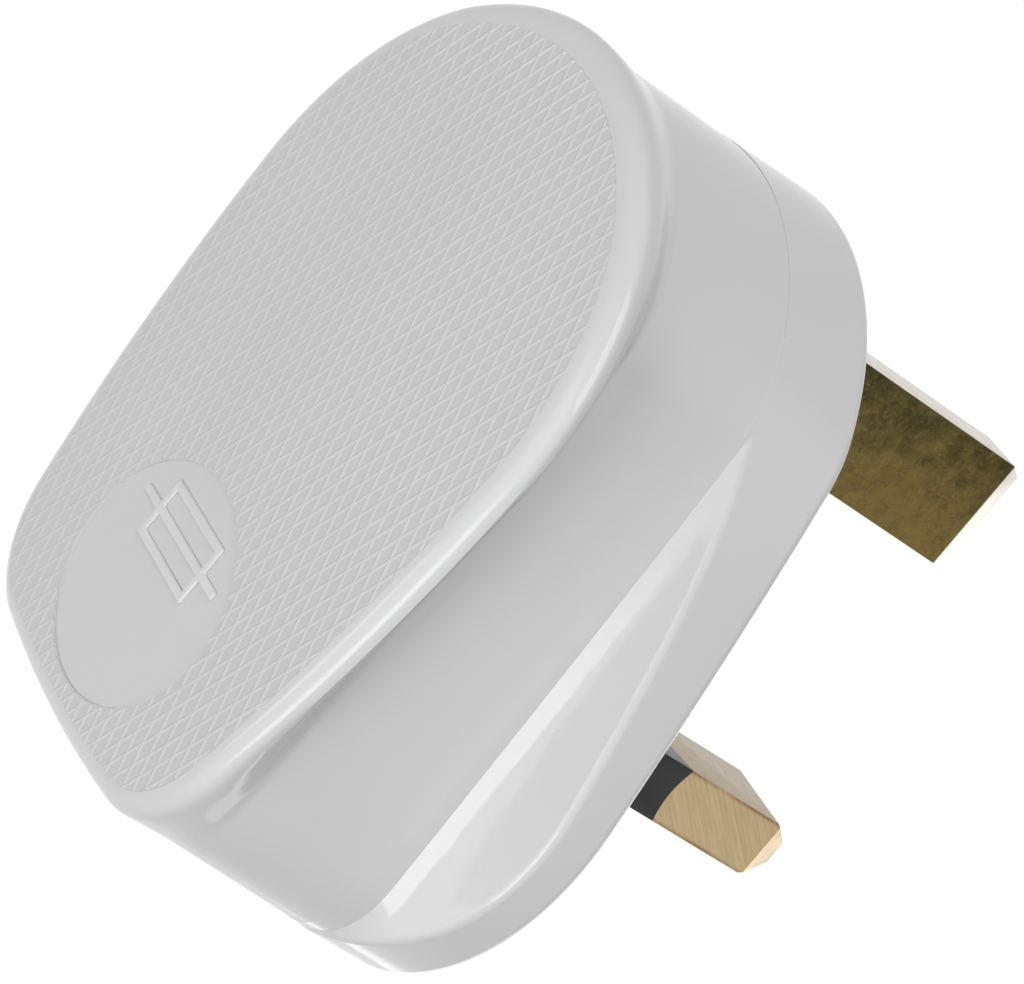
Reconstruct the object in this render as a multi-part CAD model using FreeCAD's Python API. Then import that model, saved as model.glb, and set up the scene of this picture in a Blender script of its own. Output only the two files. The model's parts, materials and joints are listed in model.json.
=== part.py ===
import FreeCAD, Part
import math
import os
from FreeCAD import Vector

# UK three pin plug, rewirable and fused, in millimetres.
# The frame is the one in use at a wall socket: the origin lies on the pin face, midway between the
# live and neutral pins, +Y runs along the pins into the wall and +Z is up, towards the earth pin.

# Pins
pin_spacing = 22.2
earth_rise = 22.2
live_width = 6.35
live_thickness = 3.95
live_reach = 17.7
live_tip_width_length = 1.8
live_tip_width_taper = 1.15
live_tip_thickness_length = 2.1
live_tip_thickness_taper = 1.2
earth_width = 3.95
earth_height = 7.9
earth_reach = 22.7
earth_tip_width_length = 1.5
earth_tip_width_taper = 0.95
earth_tip_height_length = 1.4
earth_tip_height_taper = 0.65
pin_clearance = 0.05

# Insulating sleeves of the live and neutral pins
sleeve_reach = 8.2
neck_radius = 1.6
shoulder_slope = 1.0

# Body, measured back from the pin face
body_depth = 20.9
base_height = 7.0
wall = 2.3
floor_thickness = 3.0
back_wall = 2.4
face_edge_radius = 0.8

# Room that the body leaves round the parts inside it
terminal_side_room = 0.05
clip_side_room = 0.25
earth_terminal_room = 2.5
live_terminal_room = 5.6
grip_room = 1.2

# Cover outline at the parting line
cover_top_flatness = 4.1
cover_shoulder_radius = 8.0
cover_side_radius = 900.0
cover_corner_radius = 6.4
cover_bottom_radius = 150.0
cover_draft = 0.45

# Base outline at the pin face, measured out from the cover's, and its step at the parting line
parting_step = 0.04
parting_side_radius = 170.0
base_top_step = 0.25
base_shoulder_step = 0.9
base_corner_step = 5.85
base_bottom_step = 0.55
base_top_flatness = 3.0
base_shoulder_radius = 8.6
base_corner_radius = 15.5
base_bottom_radius = 200.0
base_side_radius = 260.0
base_draft = 0.1

# Finger ledge of the base: it leaves the parting line near the earth end, tilts away from it towards
# the cord end, and falls towards the pin face in a hollow beside the cover and a slope further out
ledge_start_z = 24.0
ledge_start_depth = 0.15
ledge_tilt = 1.7
ledge_width = 9.0
ledge_slope = 0.25
ledge_hollow_depth = 1.3
ledge_hollow_width = 1.5
ledge_edge_radius = 0.6

# Rim round the back of the cover, which overhangs the finger scoops, measured out from the cover; the
# back tilts about the height of the live and neutral pins, so that it is deeper at the cord end
rim_top_step = 0.43
rim_side_step = 4.8
rim_corner_step = 1.1
rim_bottom_inset = 0.1
rim_top_flatness = 4.1
rim_shoulder_inset = 4.4
rim_side_radius = 106.0
rim_corner_radius = 8.9
rim_bottom_radius = 123.0
rim_tilt = 1.03
flare_depth = 4.3
flare_height = 3.15
bead_width = 1.9

# Plain oval sunk in the back
oval_half_width = 9.9
oval_half_height = 7.5
oval_z = -9.5
oval_depth = 0.15

# Lip of the base inside the cover
lip_thickness = 1.0
lip_height = 1.0
lip_clearance = 0.1

# Terminals
block_width = 8.0
earth_block_height = 9.0
neutral_block_height = 8.0
block_depth = 9.0
wire_hole_radius = 1.6
live_block_width = 5.4
live_block_height = 4.6
live_block_reach = 1.25
live_post_room = 0.1
seat_thickness = 2.2
peg_radius = 1.3
peg_length = 2.0

# Screws
screw_head_radius = 2.6
screw_head_height = 1.8
terminal_screw_radius = 1.7
terminal_screw_length = 3.2
screw_clearance = 0.05
slot_width = 0.9
slot_depth = 0.9

# Cartridge fuse and its clips
fuse_length = 25.4
fuse_cap_radius = 3.15
fuse_cap_length = 5.5
fuse_cap_wall = 0.45
fuse_cap_end = 0.5
fuse_barrel_radius = 3.0
fuse_bore_radius = 1.6
fuse_element_radius = 0.2
fuse_drop = 5.25
clip_thickness = 0.6
clip_width = 4.6
clip_clearance = 0.05
clip_grip = 1.3
spigot_radius = 1.1

# Cord entry and cord grip
cord_entry_radius = 3.9
grip_gap = 1.8
grip_screw_spacing = 17.2
grip_boss_radius = 2.8
grip_height = 9.2
grip_bar_end = 2.9
grip_bar_width = 5.6
grip_bar_thickness = 2.2
grip_ridge_width = 1.2
grip_ridge_height = 0.8
grip_ridge_length = 9.0
grip_screw_radius = 1.45
grip_screw_length = 7.0

# Cover screw, its insert and its washer
cover_screw_z = 9.0
cover_screw_radius = 1.75
cover_screw_head_radius = 3.0
cover_screw_head_height = 2.0
cover_screw_recess = 0.8
pillar_radius = 4.2
pillar_height = 9.0
washer_thickness = 0.7
washer_radius = 3.0
insert_radius = 2.6
insert_length = 6.0
insert_depth = 0.5

# Partitions of the base and ribs of the cover
partition_gap = 0.5
partition_thickness = 1.2
partition_low = -7.0
partition_height = 8.0
post_wall = 0.9
post_clearance = 0.3
saddle_width = 5.0
saddle_clearance = 0.1

ALONG_PINS = Vector(0, 1, 0)
UP = Vector(0, 0, 1)
SIDEWAYS = Vector(1, 0, 0)
LEDGE_STEPS = 7
ROUND_STEPS = 6

live_x = pin_spacing / 2
floor_y = -floor_thickness
parting_y = -base_height
inner_back_y = -(body_depth - back_wall)
flare_y = -(body_depth - flare_depth)
ledge_start_y = parting_y + ledge_start_depth
block_back_y = floor_y - block_depth
seat_y = floor_y - seat_thickness
fuse_y = seat_y - clip_thickness - clip_clearance - fuse_cap_radius
fuse_low = -fuse_drop - fuse_cap_length / 2
fuse_high = fuse_low + fuse_length
lower_clip_z = fuse_low + fuse_cap_length / 2
upper_clip_z = fuse_high - fuse_cap_length / 2
post_bore = screw_head_radius + post_clearance
post_radius = post_bore + post_wall
live_block_x = live_x + live_block_reach - live_block_width / 2
live_block_z = fuse_high + live_post_room + post_radius
partition_x = live_x - (block_width + partition_thickness) / 2 - partition_gap
partition_high = fuse_high - fuse_cap_length - partition_gap
grip_z = fuse_low - grip_gap - grip_bar_width / 2
grip_bar_length = grip_screw_spacing + 2 * grip_bar_end

inner_half = live_x + max(block_width / 2 + terminal_side_room,
                          fuse_cap_radius + clip_clearance + clip_thickness + clip_side_room)
inner_top = max(earth_rise + earth_block_height / 2 + earth_terminal_room,
                live_block_z + live_block_height / 2 + live_terminal_room)
inner_bottom = grip_z - grip_bar_width / 2 - grip_room
cover_half = inner_half + wall + cover_draft
cover_top = inner_top + wall + cover_draft
cover_bottom = inner_bottom - wall - cover_draft
base_shoulder_half = cover_half + base_shoulder_step
base_bottom = cover_bottom - base_bottom_step
rim_half = cover_half + rim_side_step


class Outline:
    """A closed outline of eight tangent arcs, the same on both sides of X = 0."""

    def __init__(self, top, top_radius, shoulder_half, shoulder_radius, side_radius,
                 corner_half, corner_radius, bottom, bottom_radius):
        self.top = top
        self.top_radius = top_radius
        self.shoulder_half = shoulder_half
        self.shoulder_radius = shoulder_radius
        self.side_radius = side_radius
        self.corner_half = corner_half
        self.corner_radius = corner_radius
        self.bottom = bottom
        self.bottom_radius = bottom_radius

    def inset(self, wall_thickness):
        return Outline(
            self.top - wall_thickness, self.top_radius - wall_thickness,
            self.shoulder_half - wall_thickness, self.shoulder_radius - wall_thickness,
            self.side_radius - wall_thickness,
            self.corner_half - wall_thickness, self.corner_radius - wall_thickness,
            self.bottom + wall_thickness, self.bottom_radius - wall_thickness)

    def stretched(self, rise):
        """The outline with its top and shoulders moved up along the line of its sides."""
        shoulder, side = self.circles()[1:3]
        z = shoulder[1] + rise
        x = side[0] + math.sqrt((self.side_radius - self.shoulder_radius) ** 2 - (z - side[1]) ** 2)
        top = z + self.top_radius - math.sqrt((self.top_radius - self.shoulder_radius) ** 2 - x ** 2)
        return Outline(top, self.top_radius, x + self.shoulder_radius, self.shoulder_radius,
                       self.side_radius, self.corner_half, self.corner_radius,
                       self.bottom, self.bottom_radius)

    def sizes(self):
        return (self.top, self.top_radius, self.shoulder_half, self.shoulder_radius, self.side_radius,
                self.corner_half, self.corner_radius, self.bottom, self.bottom_radius)

    def blend(self, other, share):
        """The outline that lies this share of the way to another one."""
        return Outline(*[a + (b - a) * share for a, b in zip(self.sizes(), other.sizes())])

    def circles(self):
        """Centre (x, z) and radius of the top, shoulder, side, corner and bottom arcs of the +X half."""
        top = (0.0, self.top - self.top_radius, self.top_radius)
        bottom = (0.0, self.bottom + self.bottom_radius, self.bottom_radius)
        shoulder_x = self.shoulder_half - self.shoulder_radius
        shoulder_rise = math.sqrt((self.top_radius - self.shoulder_radius) ** 2 - shoulder_x ** 2)
        shoulder = (shoulder_x, top[1] + shoulder_rise, self.shoulder_radius)
        corner_x = self.corner_half - self.corner_radius
        corner_fall = math.sqrt((self.bottom_radius - self.corner_radius) ** 2 - corner_x ** 2)
        corner = (corner_x, bottom[1] - corner_fall, self.corner_radius)
        side = self.side_circle(shoulder, corner)
        return top, shoulder, side, corner, bottom

    def side_circle(self, shoulder, corner):
        """The circle of the side radius that touches the shoulder and corner circles from outside."""
        to_shoulder = self.side_radius - shoulder[2]
        to_corner = self.side_radius - corner[2]
        dx = shoulder[0] - corner[0]
        dz = shoulder[1] - corner[1]
        apart = math.hypot(dx, dz)
        along = (to_corner ** 2 - to_shoulder ** 2 + apart ** 2) / (2 * apart)
        across = math.sqrt(to_corner ** 2 - along ** 2)
        x = corner[0] + (along * dx - across * dz) / apart
        z = corner[1] + (along * dz + across * dx) / apart
        return (x, z, self.side_radius)

    def wire(self, y):
        circles = self.circles()
        outer, shoulder, side, corner, bottom = circles
        joints = [touch(outer, shoulder), touch(side, shoulder), touch(side, corner), touch(bottom, corner)]
        arcs = [arc_points(circles[i + 1], joints[i], joints[i + 1]) for i in range(3)]
        mirrored = [[(-x, z) for x, z in reversed(points)] for points in reversed(arcs)]
        top_arc = [(-joints[0][0], joints[0][1]), (0.0, self.top), joints[0]]
        bottom_arc = [joints[3], (0.0, self.bottom), (-joints[3][0], joints[3][1])]
        edges = [three_point_arc(points, y) for points in [top_arc] + arcs + [bottom_arc] + mirrored]
        return Part.Wire(edges)

    def prism(self, y_from, y_to):
        return Part.Face(self.wire(y_from)).extrude(Vector(0, y_to - y_from, 0))


def touch(large, small):
    """The point where a small circle touches a large one from inside."""
    dx = small[0] - large[0]
    dz = small[1] - large[1]
    apart = math.hypot(dx, dz)
    return (large[0] + large[2] * dx / apart, large[1] + large[2] * dz / apart)


def arc_points(circle, start, end):
    """Start, middle and end of the shorter arc of a circle between two of its points."""
    x = (start[0] + end[0]) / 2 - circle[0]
    z = (start[1] + end[1]) / 2 - circle[1]
    reach = math.hypot(x, z)
    middle = (circle[0] + circle[2] * x / reach, circle[1] + circle[2] * z / reach)
    return [start, middle, end]


def three_point_arc(points, y):
    return Part.Arc(*[Vector(x, y, z) for x, z in points]).toShape()


def box(x_low, x_high, y_low, y_high, z_low, z_high):
    return Part.makeBox(x_high - x_low, y_high - y_low, z_high - z_low, Vector(x_low, y_low, z_low))


def centred_box(x, width, y_low, y_high, z, height):
    return box(x - width / 2, x + width / 2, y_low, y_high, z - height / 2, z + height / 2)


def rod(radius, x, z, y_low, y_high):
    """A cylinder along the pins."""
    return Part.makeCylinder(radius, y_high - y_low, Vector(x, y_low, z), ALONG_PINS)


base_outline = Outline(cover_top + base_top_step, base_shoulder_half + base_top_flatness,
                       base_shoulder_half, base_shoulder_radius, base_side_radius,
                       cover_half + base_corner_step, base_corner_radius, base_bottom, base_bottom_radius)
cover_outline = Outline(cover_top, cover_half + cover_top_flatness, cover_half, cover_shoulder_radius,
                        cover_side_radius, cover_half, cover_corner_radius, cover_bottom, cover_bottom_radius)
scoop_outline = cover_outline.inset(cover_draft).stretched(cover_draft)
rim_outline = Outline(cover_top + rim_top_step, rim_half + rim_top_flatness,
                      rim_half, rim_half - rim_shoulder_inset, rim_side_radius,
                      cover_half + rim_corner_step, rim_corner_radius,
                      cover_bottom + rim_bottom_inset, rim_bottom_radius)
parting_outline = Outline(cover_top + parting_step, cover_outline.top_radius + parting_step,
                          cover_half + parting_step, cover_shoulder_radius + parting_step,
                          parting_side_radius,
                          cover_half + base_corner_step - base_draft, base_corner_radius - base_draft,
                          base_bottom + base_draft, base_bottom_radius - base_draft)
riser_outline = cover_outline.stretched(base_outline.top_radius)


def ledge_fall(width):
    """How far the finger ledge has fallen at this distance from the cover."""
    return ledge_slope * width + ledge_hollow_depth * (1 - math.exp(-width / ledge_hollow_width))


def ledge_edges(shell, riser):
    """The edges along the outside of the finger ledge, clear of the riser and of the pin face's round."""
    return [e for e in shell.Edges if e.BoundBox.YMax < -2 * face_edge_radius
            and all(riser.distToShape(v)[0] > ledge_edge_radius for v in e.Vertexes)]


def base_shell():
    """The base's outside: its outline, cut back to the cover's along a hollow finger ledge."""
    sections = []
    for step in range(ROUND_STEPS + 1):
        turn = math.pi / 2 * step / ROUND_STEPS
        y = -face_edge_radius * (1 - math.cos(turn))
        drafted = base_outline.blend(parting_outline, y / parting_y)
        sections.append(drafted.inset(face_edge_radius * (1 - math.sin(turn))).wire(y))
    sections.append(parting_outline.wire(parting_y))
    block = Part.makeLoft(sections, True, True)
    widths = [ledge_width * (step / LEDGE_STEPS) ** 2 for step in range(LEDGE_STEPS + 1)]
    rings = [riser_outline.inset(-width).wire(ledge_start_y + ledge_fall(width)) for width in widths]
    skirt = Part.makeLoft(rings, True, False)
    riser = riser_outline.prism(2 * parting_y, ledge_start_y)
    foot = riser_outline.inset(-ledge_width).prism(ledge_start_y + ledge_fall(ledge_width), base_height)
    room = riser.fuse([skirt, foot]).removeSplitter()
    for solid in (riser, room):
        solid.rotate(Vector(0, ledge_start_y, ledge_start_z), SIDEWAYS, ledge_tilt)
    shell = block.common(room)
    return shell.makeFillet(ledge_edge_radius, ledge_edges(shell, riser))


def make_base():
    shell = base_shell()
    cavity = cover_outline.inset(wall).prism(floor_y, parting_y - lip_height)
    lip_outside = cover_outline.inset(wall - lip_thickness)
    lip = lip_outside.prism(parting_y, parting_y - lip_height)
    inside = [rod(pillar_radius, 0, cover_screw_z, -pillar_height, floor_y)]
    for side in (-1, 1):
        inside.append(rod(grip_boss_radius, side * grip_screw_spacing / 2, grip_z, -grip_height, floor_y))
        inside.append(centred_box(side * partition_x, partition_thickness, -partition_height, floor_y,
                                  (partition_low + partition_high) / 2, partition_high - partition_low))
    body = shell.fuse(lip).cut(cavity).fuse(inside)
    gap = pin_clearance
    holes = [centred_box(0, earth_width + 2 * gap, floor_y, 0, earth_rise, earth_height + 2 * gap)]
    for side in (-1, 1):
        holes.append(centred_box(side * live_x, live_width + 2 * gap, floor_y, 0,
                                 0, live_thickness + 2 * gap))
        holes.append(rod(grip_screw_radius + screw_clearance, side * grip_screw_spacing / 2, grip_z,
                         -grip_height, -grip_height + grip_screw_length))
    head_y = -cover_screw_recess - cover_screw_head_height
    holes.append(rod(cover_screw_head_radius + screw_clearance, 0, cover_screw_z, head_y, 0))
    holes.append(rod(cover_screw_radius + screw_clearance, 0, cover_screw_z, -pillar_height, 0))
    holes.append(rod(washer_radius + screw_clearance, 0, cover_screw_z,
                     -pillar_height, -pillar_height + washer_thickness))
    holes.append(rod(peg_radius + pin_clearance, live_block_x, live_block_z, floor_y, floor_y + peg_length))
    holes.append(cord_entry())
    return body.cut(holes)


def cord_entry():
    length = cover_bottom + wall - base_bottom + 2
    return Part.makeCylinder(cord_entry_radius, length, Vector(0, parting_y, base_bottom - 1), UP)


def cover_shell():
    """The cover's outside: a drafted wall that flares into a round bead along the edge of the back."""
    sections = []
    for step in range(ROUND_STEPS):
        share = step / ROUND_STEPS
        flared = scoop_outline.blend(rim_outline, share * share * (3 - 2 * share))
        sections.append(tilted(flared.wire(flare_y - flare_height * share)))
    bead_y = flare_y - flare_height
    bead_height = flare_depth - flare_height
    for step in range(ROUND_STEPS + 1):
        turn = math.pi / 2 * step / ROUND_STEPS
        rolled = rim_outline.inset(bead_width * (1 - math.cos(turn)))
        sections.append(tilted(rolled.wire(bead_y - bead_height * math.sin(turn))))
    wall_part = Part.makeLoft([cover_outline.wire(parting_y), sections[0]], True, True)
    return wall_part.fuse(Part.makeLoft(sections, True, True))


def tilted(shape):
    """A shape of the back, turned about the line along which the rim starts to flare."""
    shape.rotate(Vector(0, flare_y, 0), SIDEWAYS, -rim_tilt)
    return shape


def make_cover():
    shell = cover_shell().cut(back_oval())
    cavity = scoop_outline.inset(wall).prism(parting_y, inner_back_y)
    rebate = cover_outline.inset(wall - lip_thickness - lip_clearance)
    cavity = cavity.fuse(rebate.prism(parting_y, parting_y - lip_height - lip_clearance))
    boss = rod(pillar_radius, 0, cover_screw_z, inner_back_y, -pillar_height)
    posts = [boss, fuse_saddle()]
    post_bores = []
    for x, z in ((0, earth_rise), (-live_x, 0), (live_block_x, live_block_z)):
        posts.append(rod(post_radius, x, z, inner_back_y, block_back_y))
        post_bores.append(rod(post_bore, x, z, inner_back_y, block_back_y))
    body = shell.cut(cavity).fuse(posts)
    insert_top = -pillar_height - insert_depth
    holes = post_bores
    holes.append(rod(insert_radius, 0, cover_screw_z, insert_top - insert_length, -pillar_height))
    holes.append(cord_entry())
    return body.cut(holes)


def back_oval():
    """What is cut from the back to sink its plain oval."""
    centre = Vector(0, -body_depth, oval_z)
    oval = Part.Ellipse(centre + SIDEWAYS * oval_half_width, centre + UP * oval_half_height, centre)
    return tilted(Part.Face(Part.Wire(oval.toShape())).extrude(ALONG_PINS * oval_depth))


def fuse_saddle():
    """The rib of the cover that keeps the fuse down in its clips."""
    reach = fuse_y - fuse_barrel_radius / 2
    middle = (fuse_low + fuse_high) / 2
    rib = centred_box(live_x, 2 * fuse_barrel_radius, inner_back_y, reach, middle, saddle_width)
    return rib.cut(fuse_rod(fuse_barrel_radius + saddle_clearance, fuse_low, fuse_high))


def fuse_rod(radius, z_low, z_high):
    return Part.makeCylinder(radius, z_high - z_low, Vector(live_x, fuse_y, z_low), UP)


def tip_profile(start, reach, size, length, taper):
    """Half outline of a pin along its length, as (distance along the pin, half size) points."""
    return [(start, size / 2), (reach - length, size / 2), (reach, size / 2 - taper)]


def tapered_bar(x, z, start, reach, width, width_tip, height, height_tip):
    """A rectangular pin that tapers on all four sides at its tip; each tip is (length, taper)."""
    across = tip_profile(start, reach, width, *width_tip)
    plan = [Vector(x + half, y, z - height) for y, half in across]
    plan += [Vector(x - half, y, z - height) for y, half in reversed(across)]
    upright = tip_profile(start, reach, height, *height_tip)
    side = [Vector(x - width, y, z + half) for y, half in upright]
    side += [Vector(x - width, y, z - half) for y, half in reversed(upright)]
    plan_bar = Part.Face(Part.makePolygon(plan + plan[:1])).extrude(UP * (2 * height))
    side_bar = Part.Face(Part.makePolygon(side + side[:1])).extrude(SIDEWAYS * (2 * width))
    return plan_bar.common(side_bar)


def terminal_block(x, width, z, height):
    """A pillar terminal block that stands on the floor of the base, with its screw hole from the back."""
    block = centred_box(x, width, block_back_y, floor_y, z, height)
    screw_hole = rod(terminal_screw_radius + screw_clearance, x, z,
                     block_back_y, block_back_y + block_depth / 2)
    return block.cut(screw_hole)


def wire_hole(x, z, height):
    """The hole through a block that takes a wire from the cord end."""
    middle = (floor_y + block_back_y) / 2
    return Part.makeCylinder(wire_hole_radius, height, Vector(x, middle, z - height / 2), UP)


def make_earth_pin():
    bar = tapered_bar(0, earth_rise, floor_y, earth_reach,
                      earth_width, (earth_tip_width_length, earth_tip_width_taper),
                      earth_height, (earth_tip_height_length, earth_tip_height_taper))
    block = terminal_block(0, block_width, earth_rise, earth_block_height)
    return bar.fuse(block).cut(wire_hole(0, earth_rise, earth_block_height)).removeSplitter()


def sleeved_pin(x):
    """The blade of a sleeved pin: a turned neck that opens to the full section along a cone."""
    corner = math.hypot(live_width, live_thickness) / 2
    cone_start = sleeve_reach - corner * shoulder_slope
    blade = tapered_bar(x, 0, cone_start, live_reach,
                        live_width, (live_tip_width_length, live_tip_width_taper),
                        live_thickness, (live_tip_thickness_length, live_tip_thickness_taper))
    cone_length = live_reach - cone_start
    cone = Part.makeCone(0, cone_length / shoulder_slope, cone_length, Vector(x, cone_start, 0), ALONG_PINS)
    neck = rod(neck_radius, x, 0, floor_y, sleeve_reach)
    return blade.common(cone).fuse(neck)


def make_neutral_pin():
    block = terminal_block(-live_x, block_width, 0, neutral_block_height)
    return sleeved_pin(-live_x).fuse(block).cut(wire_hole(-live_x, 0, neutral_block_height)).removeSplitter()


def make_live_pin():
    low = lower_clip_z - fuse_cap_length / 2
    high = neutral_block_height / 2
    seat = centred_box(live_x, block_width, seat_y, floor_y, (low + high) / 2, high - low)
    spigot = rod(spigot_radius, live_x, lower_clip_z, seat_y - clip_thickness, seat_y)
    return sleeved_pin(live_x).fuse([seat, spigot]).removeSplitter()


def make_sleeve(x):
    bar = centred_box(x, live_width, floor_y, sleeve_reach, 0, live_thickness)
    return bar.cut(sleeved_pin(x))


def make_live_terminal():
    block = terminal_block(live_block_x, live_block_width, live_block_z, live_block_height)
    block_low = live_block_z - live_block_height / 2
    low = upper_clip_z - fuse_cap_length / 2
    foot = centred_box(live_block_x, live_block_width, seat_y, floor_y,
                       (low + block_low) / 2, block_low - low)
    spigot = rod(spigot_radius, live_x, upper_clip_z, seat_y - clip_thickness, seat_y)
    peg = rod(peg_radius, live_block_x, live_block_z, floor_y, floor_y + peg_length)
    middle = (floor_y + block_back_y) / 2
    start = Vector(live_block_x - live_block_width / 2, middle, live_block_z)
    side_hole = Part.makeCylinder(wire_hole_radius, live_block_width, start, SIDEWAYS)
    return block.fuse([foot, spigot, peg]).cut(side_hole).removeSplitter()


def make_fuse_clip(z):
    """A spring clip that holds a fuse cap: a foot on its seat and two curved arms."""
    inside = fuse_cap_radius + clip_clearance
    low = z - clip_width / 2
    high = z + clip_width / 2
    ring = fuse_rod(inside + clip_thickness, low, high)
    foot = centred_box(live_x, 2 * spigot_radius + 2 * clip_thickness, seat_y - 2 * clip_thickness, seat_y,
                       z, clip_width)
    mouth = centred_box(live_x, 4 * inside, fuse_y - 2 * inside, fuse_y - clip_grip, z, 2 * clip_width)
    spigot = rod(spigot_radius, live_x, z, seat_y - clip_thickness, seat_y)
    return ring.fuse(foot).cut([fuse_rod(inside, low, high), mouth, spigot])


def make_fuse_barrel():
    low = fuse_low + fuse_cap_end
    high = fuse_high - fuse_cap_end
    neck = fuse_rod(fuse_cap_radius - fuse_cap_wall, low, high)
    middle = fuse_rod(fuse_barrel_radius, fuse_low + fuse_cap_length, fuse_high - fuse_cap_length)
    return neck.fuse(middle).cut(fuse_rod(fuse_bore_radius, low, high))


def make_fuse_cap(z_end, direction):
    """A cup over one end of the barrel."""
    z_mouth = z_end + direction * fuse_cap_length
    z_floor = z_end + direction * fuse_cap_end
    cup = fuse_rod(fuse_cap_radius, min(z_end, z_mouth), max(z_end, z_mouth))
    return cup.cut(fuse_rod(fuse_cap_radius - fuse_cap_wall, min(z_floor, z_mouth), max(z_floor, z_mouth)))


def make_fuse_element():
    return fuse_rod(fuse_element_radius, fuse_low + fuse_cap_end, fuse_high - fuse_cap_end)


def cheese_head_screw(x, z, seat, radius, length):
    """A slotted screw whose head sits on a face at this Y and whose shank runs towards the pins."""
    top = seat - screw_head_height
    head = rod(screw_head_radius, x, z, top, seat)
    slot = centred_box(x, 2 * screw_head_radius, top, top + slot_depth, z, slot_width)
    return head.fuse(rod(radius, x, z, seat, seat + length)).cut(slot)


def make_terminal_screw(x, z):
    return cheese_head_screw(x, z, block_back_y, terminal_screw_radius, terminal_screw_length)


def make_cord_grip_bar():
    """A bar across the cord, with a ridge underneath that bites into the sheath."""
    seat = -grip_height
    bar = centred_box(0, grip_bar_length, seat - grip_bar_thickness, seat, grip_z, grip_bar_width)
    corners = [e for e in bar.Edges if e.BoundBox.YLength > grip_bar_thickness / 2]
    bar = bar.makeFillet(grip_bar_width / 2 - grip_ridge_height, corners)
    ridge = centred_box(0, grip_ridge_length, seat, seat + grip_ridge_height, grip_z, grip_ridge_width)
    holes = [rod(grip_screw_radius + screw_clearance, side * grip_screw_spacing / 2, grip_z,
                 seat - grip_bar_thickness, seat) for side in (-1, 1)]
    return bar.fuse(ridge).cut(holes)


def make_cord_grip_screw(side):
    return cheese_head_screw(side * grip_screw_spacing / 2, grip_z, -grip_height - grip_bar_thickness,
                             grip_screw_radius, grip_bar_thickness + grip_screw_length - screw_head_height)


def make_cover_screw():
    outer = -cover_screw_recess
    seat = outer - cover_screw_head_height
    head = rod(cover_screw_head_radius, 0, cover_screw_z, seat, outer)
    tip = -pillar_height - insert_depth - insert_length / 2
    shank = rod(cover_screw_radius, 0, cover_screw_z, tip, seat)
    slot = centred_box(0, 2 * cover_screw_head_radius, outer - slot_depth, outer, cover_screw_z, slot_width)
    return head.fuse(shank).cut(slot)


def make_cover_screw_washer():
    seat = -pillar_height + washer_thickness
    disc = rod(washer_radius, 0, cover_screw_z, -pillar_height, seat)
    return disc.cut(rod(cover_screw_radius, 0, cover_screw_z, -pillar_height, seat))


def make_cover_screw_insert():
    top = -pillar_height - insert_depth
    tube = rod(insert_radius, 0, cover_screw_z, top - insert_length, top)
    return tube.cut(rod(cover_screw_radius, 0, cover_screw_z, top - insert_length, top))


pieces = {
    "base": make_base(),
    "cover": make_cover(),
    "earth_pin": make_earth_pin(),
    "live_pin": make_live_pin(),
    "neutral_pin": make_neutral_pin(),
    "live_pin_sleeve": make_sleeve(live_x),
    "neutral_pin_sleeve": make_sleeve(-live_x),
    "earth_terminal_screw": make_terminal_screw(0, earth_rise),
    "neutral_terminal_screw": make_terminal_screw(-live_x, 0),
    "live_terminal": make_live_terminal(),
    "live_terminal_screw": make_terminal_screw(live_block_x, live_block_z),
    "live_pin_fuse_clip": make_fuse_clip(lower_clip_z),
    "live_terminal_fuse_clip": make_fuse_clip(upper_clip_z),
    "fuse_barrel": make_fuse_barrel(),
    "fuse_lower_cap": make_fuse_cap(fuse_low, 1),
    "fuse_upper_cap": make_fuse_cap(fuse_high, -1),
    "fuse_element": make_fuse_element(),
    "cord_grip_bar": make_cord_grip_bar(),
    "cord_grip_left_screw": make_cord_grip_screw(-1),
    "cord_grip_right_screw": make_cord_grip_screw(1),
    "cover_screw": make_cover_screw(),
    "cover_screw_washer": make_cover_screw_washer(),
    "cover_screw_insert": make_cover_screw_insert(),
}

os.makedirs("parts", exist_ok=True)
for name, shape in pieces.items():
    solid = shape.Solids[0] if len(shape.Solids) == 1 else shape
    print(name, "valid" if solid.isValid() else "not valid", len(shape.Solids), round(solid.Volume, 1))
    solid.exportStep(f"parts/{name}.step")
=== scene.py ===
import json
import math

import bpy
from mathutils import Matrix, Vector


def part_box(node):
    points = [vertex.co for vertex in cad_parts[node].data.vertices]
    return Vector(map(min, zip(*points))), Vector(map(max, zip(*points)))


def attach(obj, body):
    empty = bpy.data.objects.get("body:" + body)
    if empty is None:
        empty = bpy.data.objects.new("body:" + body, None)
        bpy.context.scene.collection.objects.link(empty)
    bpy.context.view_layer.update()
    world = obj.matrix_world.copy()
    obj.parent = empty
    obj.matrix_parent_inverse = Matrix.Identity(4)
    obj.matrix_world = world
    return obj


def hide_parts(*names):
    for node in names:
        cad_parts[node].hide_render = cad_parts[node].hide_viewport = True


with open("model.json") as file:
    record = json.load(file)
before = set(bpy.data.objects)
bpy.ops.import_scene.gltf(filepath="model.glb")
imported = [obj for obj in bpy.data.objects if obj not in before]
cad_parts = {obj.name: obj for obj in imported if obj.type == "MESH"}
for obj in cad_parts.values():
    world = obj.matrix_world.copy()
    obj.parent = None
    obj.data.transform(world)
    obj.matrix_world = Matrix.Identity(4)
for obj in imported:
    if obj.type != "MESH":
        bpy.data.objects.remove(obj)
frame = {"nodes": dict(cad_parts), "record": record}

bl_info = {
    "name": "Three pin plug",
    "version": (1, 0, 0),
    "blender": (4, 5, 0),
    "location": "View3D > Sidebar > Plug",
    "description": "Finishes a UK three pin plug: its moulded shells, ridged back, brass pins and fittings",
    "category": "Object",
}

BODY = "root"
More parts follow.
